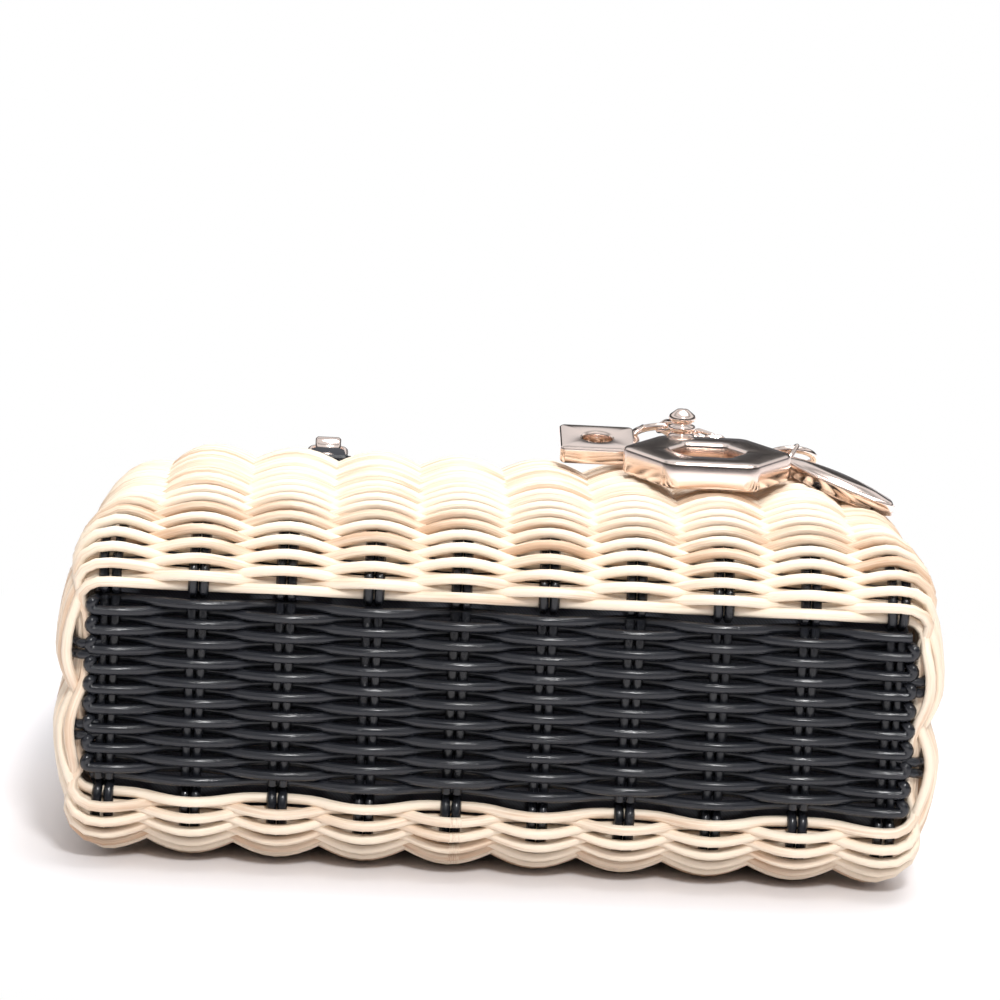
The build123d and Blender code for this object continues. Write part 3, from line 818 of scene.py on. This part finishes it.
class BASKET_OT_handles(bpy.types.Operator):
    """Rolled leather handles with a sewn seam on the inside, metal ends and eyes"""
    bl_idname = "basket.handles"
    bl_label = "Handles"

    def execute(self, context):
        f = settings()[3]
        for name in ("front", "back"):
            flat = handle_frame(name)
            start = f.eye + f.ferrule_length - 0.002

            def line(inner):
                span = f.half_span - inner
                legs = [(-span, y, 0) for y in np.linspace(start, f.leg, 10)[:-1]]
                arch = [(-span * cos(a), f.leg + span * sin(a), 0) for a in np.linspace(0, pi, 49)]
                return legs + arch + [(-x, y, z) for x, y, z in reversed(legs)]

            grip = reeds([moved(flat, line(0))], f.handle * 0.985, False, 8, 31)
            put(grip, f"handle_{name}_leather", f"{name}_handle", LEATHER,
                [f"handle_{name}"])
            seam = moved(flat, line(f.handle * 0.97))
            put(reeds([seam], 0.0004, False, 2, 32), f"handle_{name}_seam", f"{name}_handle", LEATHER)
            up = np.tile(np.array(flat.to_3x3() @ Vector((0, 0, 1))), (len(seam), 1))
            inward = (seam - moved(flat, line(0))) / f.handle
            threads = []
            for side in (-1, 1):
                rim = moved(flat, line(f.handle * 0.86))
                threads += sewn(rim, up * side * f.handle * 0.5, inward, f.thread, f.stitch)
            put(reeds(threads, f.thread, False, 1, 33), f"handle_{name}_stitches", f"{name}_handle",
                LEATHER, finish="thread")
            r, low, high = f.ferrule, f.eye * 1.3, f.eye + f.ferrule_length
            cap = [(0, low), (r * 0.62, low), (r * 0.8, low + 0.0004), (r * 0.86, low + 0.0011),
                   (r * 0.93, low + 0.0012),
                   (r * 0.97, low + 0.0018), (r * 0.97, high - 0.0022), (r * 0.92, high - 0.002),
                   (r * 0.92, high - 0.0014),
                   (r * 0.985, high - 0.0012), (r, high - 0.0007), (r * 0.985, high - 0.0002),
                   (r * 0.9, high), (0, high)]
            eye = [(f.bore, -0.0026), (f.eye * 0.85, -0.0028), (f.eye, -0.0023), (f.eye, 0.0023),
                   (f.eye * 0.85, 0.0028),
                   (f.bore, 0.0026), (f.bore, -0.0026)]
            neck = [(0, f.bore + 0.0002), (f.eye * 0.85, f.bore + 0.0002), (f.eye * 0.8, low + 0.0003),
                    (0, low + 0.0003)]
            ends = []
            for x in (-f.half_span, f.half_span):
                foot = flat @ Matrix.Translation((x, 0, 0))
                ends += [turned(cap, foot, 40), turned(eye, foot, 32, (1, 0, 0)), turned(neck, foot, 24)]
            put(joined(ends), f"handle_{name}_ends", f"{name}_handle", METAL,
                [f"handle_{name}_ferrules"])
        return {"FINISHED"}


class BASKET_OT_loops(bpy.types.Operator):
    """Wire loops between the tabs and the handles"""
    bl_idname = "basket.loops"
    bl_label = "Loops"

    def execute(self, context):
        f = settings()[3]
        for name in ("front", "back"):
            near, far = joint_place(f"{name}_loops_swing"), joint_place(f"{name}_handle_swing")
            reach = (far - near).length
            angle = atan2(far.z - near.z, far.y - near.y)
            paths = []
            for x in (-f.half_span, f.half_span):
                flat = swung((x, near.y, near.z), angle) @ Matrix.Translation((0, reach / 2, 0))
                paths.append(moved(flat, rounded_loop(f.loop_width - 2 * f.wire, reach, 0.0016)))
            put(reeds(paths, f.wire, True, 4, 41), f"loops_{name}_wire", f"{name}_loops",
                METAL, [f"loops_{name}"])
        return {"FINISHED"}


class BASKET_OT_strap(bpy.types.Operator):
    """Leather strap of the charms, folded round the staple and the large ring"""
    bl_idname = "basket.strap"
    bl_label = "Strap"

    def execute(self, context):
        f = settings()[3]
        bar, ring = joint_place("charm_strap_swing"), joint_place("charms_swing")
        low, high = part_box("charm_staple")
        wide, tall = high[0] - low[0] - 2 * f.wire, bar.z - low[2]
        half = wide / 2
        left = [(-half, 0, -tall), (-half, 0, -0.001), (-half + 0.0003, 0, -0.0003), (-half + 0.001, 0, 0)]
        arch = left + [(-x, y, z) for x, y, z in reversed(left)]
        staple = reeds([moved(Matrix.Translation(bar), arch)], f.wire, False, 4, 51)
        put(staple, "staple_wire", "bag", METAL, ["charm_staple"])

        flat = swung(tuple(bar), atan2(ring.z - bar.z, ring.y - bar.y))
        run = hypot(ring.y - bar.y, ring.z - bar.z)
        thick = 0.0009
        wrap, mid = f.bore + thick * 0.75, thick * 0.62
        outline = [(wrap, t) for t in np.linspace(radians(100), radians(260), 9)]
        points = [(r * cos(t), r * sin(t)) for r, t in outline]
        points += [(y, -np.interp(y, [0.004, 0.008, run - 0.009, run - 0.004], [wrap, mid, mid, wrap]))
                   for y in np.linspace(0.004, run - 0.004, 15)]
        points += [(run + wrap * cos(t), wrap * sin(t)) for t in np.linspace(radians(-80), radians(80), 9)]
        points += [(y, np.interp(y, [0.004, 0.008, run - 0.009, run - 0.004], [wrap, mid, mid, wrap]))
                   for y in np.linspace(run - 0.004, 0.004, 15)]
        points.append(points[0])
        drift = ring.x - bar.x
        line = moved(flat, [(drift * min(1, max(0, y / run)), y, z) for y, z in points])
        leather = ribbon(line, np.full(len(line), f.strap_width), thick, Vector((0, 1, 0)))
        put(leather, "strap_leather", "charm_strap", LEATHER, ["charm_strap"])
        up = flat.to_3x3() @ Vector((0, 0, 1))
        top = moved(flat, [(drift * y / run, y, mid + thick / 2) for y in np.linspace(0.006, run - 0.006,
                                                                                      12)])
        threads = []
        for edge in (-1, 1):
            offset = np.tile(np.array([edge * (f.strap_width / 2 - 0.0009), 0, 0]), (12, 1))
            threads += sewn(top, offset, np.tile(np.array(up), (12, 1)), f.thread * 0.8, f.stitch * 0.8)
        put(reeds(threads, f.thread * 0.8, False, 1, 52), "strap_stitches", "charm_strap", LEATHER,
            finish="thread")
        return {"FINISHED"}


def chain(start, end, wire=0.0005, pitch=0.0042):
    """Oval links from one point to another, every second one turned across."""
    along = end - start
    count = max(1, round(along.length / pitch))
    ahead = along.normalized()
    side = ahead.cross(Vector((0, 0, 1))).normalized()
    lift = side.cross(ahead)
    paths = []
    for i in range(count):
        a = radians(45 if i % 2 else -45)
        across = side * cos(a) + lift * sin(a)
        turn = Matrix((across, ahead, across.cross(ahead))).transposed().to_4x4()
        place = Matrix.Translation(start + along * ((i + 0.5) / count)) @ turn
        paths.append(moved(place, rounded_loop(0.0026, along.length / count + 2.6 * wire, 0.0012)))
    return paths


def pierced_plate(reach_at, hole_at, thickness, bevel, matrix, count=96):
    """A plate whose outline and hole are given as distances from its middle at each angle."""
    bm = bmesh.new()
    for reach in (reach_at, hole_at):
        ring = bmesh.ops.create_circle(bm, cap_ends=False, segments=count, radius=1.0)["verts"]
        for vert in ring:
            angle = atan2(vert.co.y, vert.co.x)
            vert.co *= reach(angle)
    faces = bmesh.ops.bridge_loops(bm, edges=list(bm.edges))["faces"]
    upper = bmesh.ops.extrude_face_region(bm, geom=faces)["geom"]
    bmesh.ops.translate(bm, vec=(0, 0, thickness), verts=[g for g in upper if isinstance(g,
                                                                                         bmesh.types.BMVert)])
    bmesh.ops.recalc_face_normals(bm, faces=bm.faces)
    rims = [e for e in bm.edges if len(e.link_faces) == 2 and e.calc_face_angle(0) > radians(60)
            and abs(e.verts[0].co.z - e.verts[1].co.z) < 1e-6]
    bmesh.ops.bevel(bm, geom=rims, offset=bevel, offset_type="OFFSET", segments=3, profile=0.5,
                    affect="EDGES",
                    material=-1)
    smoothed(bm, radians(24))
    bmesh.ops.transform(bm, matrix=matrix, verts=bm.verts)
    return bm


def flat_sided(sides, across, soften=0.0, turn=0.0):
    """Distance from the middle to the edge of a polygon with slightly softened corners."""
    def reach(angle):
        part = 2 * pi / sides
        local = (angle - turn) % part - part / 2
        edge = across / 2 * cos(part / 2) / cos(local)
        return min(edge, across / 2 * (1 - soften))
    return reach


class BASKET_OT_charms(bpy.types.Operator):
    """Polished charms on their rings: a pierced hexagon, a pierced square, a leaf, a bead and a link"""
    bl_idname = "basket.charms"
    bl_label = "Charms"

    def execute(self, context):
        f = settings()[3]

        def middle(node):
            low, high = (Vector(c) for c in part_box(node))
            return (low + high) / 2, low, high

        eye = joint_place("charms_swing")
        circle = [(cos(t), 1 + sin(t), 0) for t in np.linspace(0, 2 * pi, 49)[:-1]]
        tilt = pi - f.ring_tilt
        for node, radius, foot in (("charm_ring", f.ring, tuple(eye)),
                                   ("charm_ring_small", f.small_ring, None)):
            if foot is None:
                centre, low, high = middle(node)
                back = swung((0, 0, 0), tilt).to_3x3() @ Vector((0, radius, 0))
                foot = tuple(centre - back)
            path = moved(swung(foot, tilt) @ Matrix.Diagonal((radius, radius, radius, 1)), circle)
            put(reeds([path], f.ring_wire, True, 5, 61), node + "_wire", "charms", METAL, [node])

        centre, low, high = middle("charm_hexagon")
        across = high.x - low.x
        plate = pierced_plate(flat_sided(6, across, 0.03), flat_sided(6, across * 0.45, 0.03),
                              high.z - low.z, 0.0009,
                              Matrix.Translation((centre.x, centre.y, low.z)))
        put(plate, "hexagon_plate", "charms", METAL, ["charm_hexagon"])

        centre, low, high = middle("charm_square")
        lean, side, thick = radians(8), 0.015, 0.0035
        foot = swung((centre.x, low.y + thick * sin(lean), low.z),
                     lean) @ Matrix.Translation((0, side / 2, 0))
        plate = pierced_plate(flat_sided(4, side * sqrt(2), 0.05, pi / 4), lambda a: 0.003, thick, 0.0007,
                              foot)
        put(plate, "square_plate", "charms", METAL, ["charm_square"])

        centre, low, high = middle("charm_leaf")
        along = Vector((25, -22, -6.75)).normalized()
        away = Vector((0.27, 0, 1)).normalized()
        across = away.cross(along).normalized()
        away = along.cross(across).normalized()
        turn = Matrix((along, across, away)).transposed().to_4x4()
        length, width, thick = 0.028, 0.012, 0.0038
        bm = bmesh.new()
        ring = bmesh.ops.create_circle(bm, cap_ends=True, segments=64, radius=1.0)["verts"]
        for vert in ring:
            share = vert.co.x
            vert.co = Vector((share * length / 2, vert.co.y * width / 2 * (1 - share * share) ** 0.12, 0))
        for vert in ring:
            vert.co *= 0.9
        crown = list(bm.faces)
        for height, spread in ((0.12, 1 / 0.9), (0.6, 1.0), (0.8, 0.93), (0.84, 0.9), (0.93, 0.8),
                               (1.0, 0.6)):
            geom = bmesh.ops.extrude_face_region(bm, geom=crown)["geom"]
            crown = [g for g in geom if isinstance(g, bmesh.types.BMFace)]
            for vert in {v for face in crown for v in face.verts}:
                vert.co = Vector((vert.co.x * spread, vert.co.y * spread, thick * height))
        bmesh.ops.recalc_face_normals(bm, faces=bm.faces)
        smoothed(bm, radians(40))
        leaf_middle = centre
        bmesh.ops.transform(bm, matrix=Matrix.Translation(centre - away * thick / 2) @ turn, verts=bm.verts)
        put(bm, "leaf_plate", "charms", METAL, ["charm_leaf"])

        centre, low, high = middle("charm_bead")
        r, h = (high.x - low.x) / 2, high.z - low.z
        profile = [(0, 0), (0.7 * r, 0), (0.95 * r, 0.04 * h), (r, 0.1 * h), (r, 0.52 * h),
                   (0.93 * r, 0.56 * h),
                   (0.74 * r, 0.58 * h), (0.74 * r, 0.62 * h), (0.93 * r, 0.64 * h), (r, 0.68 * h),
                   (0.93 * r, 0.72 * h),
                   (0.74 * r, 0.74 * h), (0.74 * r, 0.78 * h), (0.93 * r, 0.8 * h), (r, 0.84 * h),
                   (0.9 * r, 0.9 * h),
                   (0.62 * r, 0.95 * h), (0.4 * r, 0.99 * h), (0, h)]
        put(turned(profile, Matrix.Translation((centre.x, centre.y, low.z)), 40, (0, 0, 1)), "bead",
            "charms", METAL, ["charm_bead"])

        centre, low, high = middle("charm_link")
        upright = Matrix.Translation(centre) @ Matrix.Rotation(pi / 2, 4, "X")
        path = moved(upright, rounded_loop(high.x - low.x - 0.0015, high.z - low.z - 0.0015, 0.0011))
        put(reeds([path], 0.00075, True, 4, 62), "link_wire", "charms", METAL, ["charm_link"])

        big, _, _ = middle("charm_ring")
        small, _, _ = middle("charm_ring_small")
        link, _, _ = middle("charm_link")
        bead, _, bead_top = middle("charm_bead")
        hexagon, _, hexagon_top = middle("charm_hexagon")
        square, _, square_top = middle("charm_square")
        slope = Vector((0, cos(tilt), sin(tilt)))
        far = big + slope * f.ring
        near_leaf = leaf_middle - along * (length / 2 - 0.0008)

        def on_ring(centre, radius, across, away):
            return centre + Vector((radius * across, 0, 0)) + slope * radius * away

        side = hexagon.y + (hexagon_top.x - hexagon.x) * cos(pi / 6) - 0.0004
        ends = [
            (far, link),
            (link, Vector((hexagon.x, side, hexagon.z))),
            (far + Vector((-0.001, 0, 0)), Vector((bead.x, bead.y, bead_top.z - 0.0035))),
            (on_ring(big, f.ring, -0.8, 0.6), Vector((square_top.x - 0.001, square_top.y - 0.001, square.z))),
            (on_ring(big, f.ring, 0.9, 0.44), on_ring(small, f.small_ring, -0.9, -0.44)),
            (small + slope * f.small_ring, near_leaf),
        ]
        links = [path for start, end in ends for path in chain(start, end)]
        put(reeds(links, 0.0005, True, 3, 63), "charm_chains", "charms", METAL)
        return {"FINISHED"}


class BASKET_OT_lining(bpy.types.Operator):
    """Cloth lining with a hem at the mouth, side seams and soft ripples"""
    bl_idname = "basket.lining"
    bl_label = "Lining"

    def execute(self, context):
        basket = Basket()
        length = basket.s.length
        places = np.arange(0, STAKES * 5) / 5
        phase = np.random.default_rng(7).random(6) * 2 * pi
        rows = []
        for d in np.concatenate([np.linspace(0.0068, 0.03, 6), np.linspace(0.036, length - 0.0052, 30)]):
            row = basket.outline(d, places, 0.0066)
            waves = zip((5, 7, 9, 11), phase)
            ripple = sum(np.sin(places * 2 * pi / STAKES * k + p + d * 60) for k, p in waves) * 0.00009
            rows.append(row - outward(row, row.mean(axis=0)) * (0.0002 + ripple)[:, None])
        bm = bmesh.new()
        count = len(places)
        bmesh.ops.create_grid(bm, x_segments=count - 1, y_segments=len(rows) - 1, size=0.5)
        for vert in bm.verts:
            i = int(round((vert.co.x + 0.5) * (count - 1)))
            j = int(round((vert.co.y + 0.5) * (len(rows) - 1)))
            vert.co = rows[j][i]
        ends = [{tuple(np.round(row[k], 7)) for row in rows} for k in (0, -1)]
        sides = [e for e in bm.edges if e.is_boundary and any(
            all(tuple(np.round(np.array(v.co), 7)) in end for v in e.verts) for end in ends)]
        bmesh.ops.bridge_loops(bm, edges=sides)
        low = rows[0][0][1]
        bottom = [e for e in bm.edges if e.is_boundary and all(abs(v.co.y - low) < 1e-6 for v in e.verts)]
        bmesh.ops.contextual_create(bm, geom=bottom)
        bmesh.ops.recalc_face_normals(bm, faces=bm.faces)
        bmesh.ops.solidify(bm, geom=list(bm.faces), thickness=0.0006)
        put(smoothed(bm), "lining_cloth", "bag", CLOTH, ["lining_pouch"])

        hem = basket.outline(length - 0.0052, places, 0.0070)
        put(reeds([hem], 0.0006, True, 2, 71), "lining_hem", "bag", CLOTH)
        inner = basket.outline(length - 0.013, places, 0.0074)
        inward = -outward(inner, inner.mean(axis=0))
        ends = np.concatenate([inner, inner[:1]])
        threads = sewn(ends, ends * 0, np.concatenate([inward, inward[:1]]), 0.0002, 0.003)
        put(reeds(threads, 0.0002, False, 1, 72), "lining_stitches", "bag", CLOTH, finish="thread")
        depths = np.linspace(0.008, length - 0.014, 40)
        seams = [np.array([basket.outline(d, np.array([place]), 0.0076)[0] for d in depths])
                 for place in (STAKES / 4, STAKES * 3 / 4)]
        put(reeds(seams, 0.0005, False, 2, 73), "lining_seams", "bag", CLOTH)
        return {"FINISHED"}


# Floor, light and camera

class BASKET_OT_stage(bpy.types.Operator):
    """Pale floor, soft light and the camera"""
    bl_idname = "basket.stage"
    bl_label = "Stage"

    def execute(self, context):
        bm = bmesh.new()
        bmesh.ops.create_grid(bm, x_segments=1, y_segments=1, size=3.0)
        mesh = bpy.data.meshes.new("floor")
        bm.to_mesh(mesh)
        bm.free()
        floor = bpy.data.objects.new("floor", mesh)
        context.scene.collection.objects.link(floor)
        material, tree, shader = new_material("white floor")
        wire(tree, shader, {"Base Color": (0.86, 0.835, 0.845, 1), "Roughness": 0.7})
        place = add(tree, "TexCoord").outputs["Object"]
        squeeze = add(tree, "VectorMath", {0: place, 1: (0.8, 0.95, 1), 2: (0, 0.03, 0)},
                      operation="MULTIPLY_ADD")
        away = add(tree, "VectorMath", {0: squeeze.outputs["Vector"]}, operation="LENGTH")
        fade = add(tree, "MapRange", {"Value": away.outputs["Value"], "From Min": 0.085, "From Max": 0.17},
                   interpolation_type="SMOOTHSTEP")
        camera_ray = add(tree, "LightPath").outputs["Is Camera Ray"]
        seen = add(tree, "Math", {0: fade.outputs["Result"], 1: camera_ray}, operation="MULTIPLY")
        white = add(tree, "Emission").outputs["Emission"]
        mix = add(tree, "MixShader", {"Fac": seen.outputs[0], 1: shader.outputs["BSDF"], 2: white})
        output = next(n for n in tree.nodes if n.type == "OUTPUT_MATERIAL")
        tree.links.new(mix.outputs["Shader"], output.inputs["Surface"])
        mesh.materials.append(material)

        world = bpy.data.worlds.new("studio")
        world.use_nodes = True
        context.scene.world = world
        tree = world.node_tree
        height = add(tree, "SeparateXYZ", {"Vector": add(tree, "TexCoord").outputs["Generated"]}).outputs["Z"]
        bands = ((0.08, 0.12), (0.2, 0.05), (0.32, 0.12), (0.4, 1.1), (0.6, 1.3), (0.72, 0.45), (0.84, 1.2))
        greys = [(z, (tone, tone, tone * 1.02)) for z, tone in bands]
        sky = ramp(tree, height, (0.0, (0.3, 0.31, 0.35)), *greys, last=(1.0, (1, 1, 1)))
        soft = tree.nodes["Background"]
        wire(tree, soft, {"Color": sky, "Strength": 0.66})
        clean = add(tree, "Background").outputs["Background"]
        camera_ray = add(tree, "LightPath").outputs["Is Camera Ray"]
        mix = add(tree, "MixShader", {"Fac": camera_ray, 1: soft.outputs["Background"], 2: clean})
        tree.links.new(mix.outputs["Shader"], tree.nodes["World Output"].inputs["Surface"])

        def lamp(name, place, aim, size, power):
            data = bpy.data.lights.new(name, "AREA")
            data.size = size
            data.energy = power
            obj = bpy.data.objects.new(name, data)
            obj.location = place
            obj.rotation_euler = (Vector(aim) - Vector(place)).to_track_quat("-Z", "Y").to_euler()
            context.scene.collection.objects.link(obj)

        lamp("overhead", (0.15, 0.1, 1.2), (0, -0.02, 0), 0.8, 12)
        lamp("front", (0.15, -1.1, 0.95), (0, -0.05, 0.03), 0.18, 11)

        camera = bpy.data.cameras.new("camera")
        holder = bpy.data.objects.new("camera", camera)
        context.scene.collection.objects.link(holder)
        context.scene.camera = holder
        camera.sensor_width = 36.0
        camera.sensor_fit = "AUTO"
        height, turn, roll = radians(11.3), radians(1.6), radians(3.03)
        distance = 0.910
        camera.lens = 36.0 * 4.83
        forward = Vector((sin(turn) * cos(height), cos(turn) * cos(height), -sin(height)))
        right = Vector((cos(turn), -sin(turn), 0))
        up = right.cross(forward)
        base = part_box("wall_weave")[0][1]
        place = Vector((0, base, 0.035)) - forward * distance - right * 0.0021 + up * 0.0394
        rolled_right = right * cos(roll) + up * sin(roll)
        rolled_up = -right * sin(roll) + up * cos(roll)
        turned = Matrix((rolled_right, rolled_up, -forward)).transposed().to_4x4()
        holder.matrix_world = Matrix.Translation(place) @ turned
        context.scene.view_settings.view_transform = "Standard"
        return {"FINISHED"}


class BASKET_PT_panel(bpy.types.Panel):
    """Sidebar panel with the sizes and the building steps"""
    bl_idname = "BASKET_PT_panel"
    bl_label = "Reed Handbag"
    bl_space_type = "VIEW_3D"
    bl_region_type = "UI"
    bl_category = "Handbag"

    def draw(self, context):
        for group in settings():
            box = self.layout.box()
            for key in group.__annotations__:
                box.prop(group, key)
        for operator in operators:
            self.layout.operator(operator.bl_idname)


operators = [
    BASKET_OT_stage,
    BASKET_OT_wall,
    BASKET_OT_band,
    BASKET_OT_wall_stakes,
    BASKET_OT_panel,
    BASKET_OT_panel_stakes,
    BASKET_OT_rim,
    BASKET_OT_lining,
    BASKET_OT_tabs,
    BASKET_OT_rivets,
    BASKET_OT_loops,
    BASKET_OT_handles,
    BASKET_OT_strap,
    BASKET_OT_charms,
]
groups = [BasketSettings, WeaveSettings, ColourSettings, FittingSettings]


def register():
    for cls in groups + operators + [BASKET_PT_panel]:
        bpy.utils.register_class(cls)
    bpy.types.Scene.basket_shape = PointerProperty(type=BasketSettings)
    bpy.types.Scene.basket_weave = PointerProperty(type=WeaveSettings)
    bpy.types.Scene.basket_colours = PointerProperty(type=ColourSettings)
    bpy.types.Scene.basket_fittings = PointerProperty(type=FittingSettings)


def unregister():
    del bpy.types.Scene.basket_fittings
    del bpy.types.Scene.basket_colours
    del bpy.types.Scene.basket_weave
    del bpy.types.Scene.basket_shape
    for cls in reversed(groups + operators + [BASKET_PT_panel]):
        bpy.utils.unregister_class(cls)


def main():
    register()
    for operator in operators:
        group, name = operator.bl_idname.split(".")
        getattr(getattr(bpy.ops, group), name)()


if __name__ == "__main__":
    main()
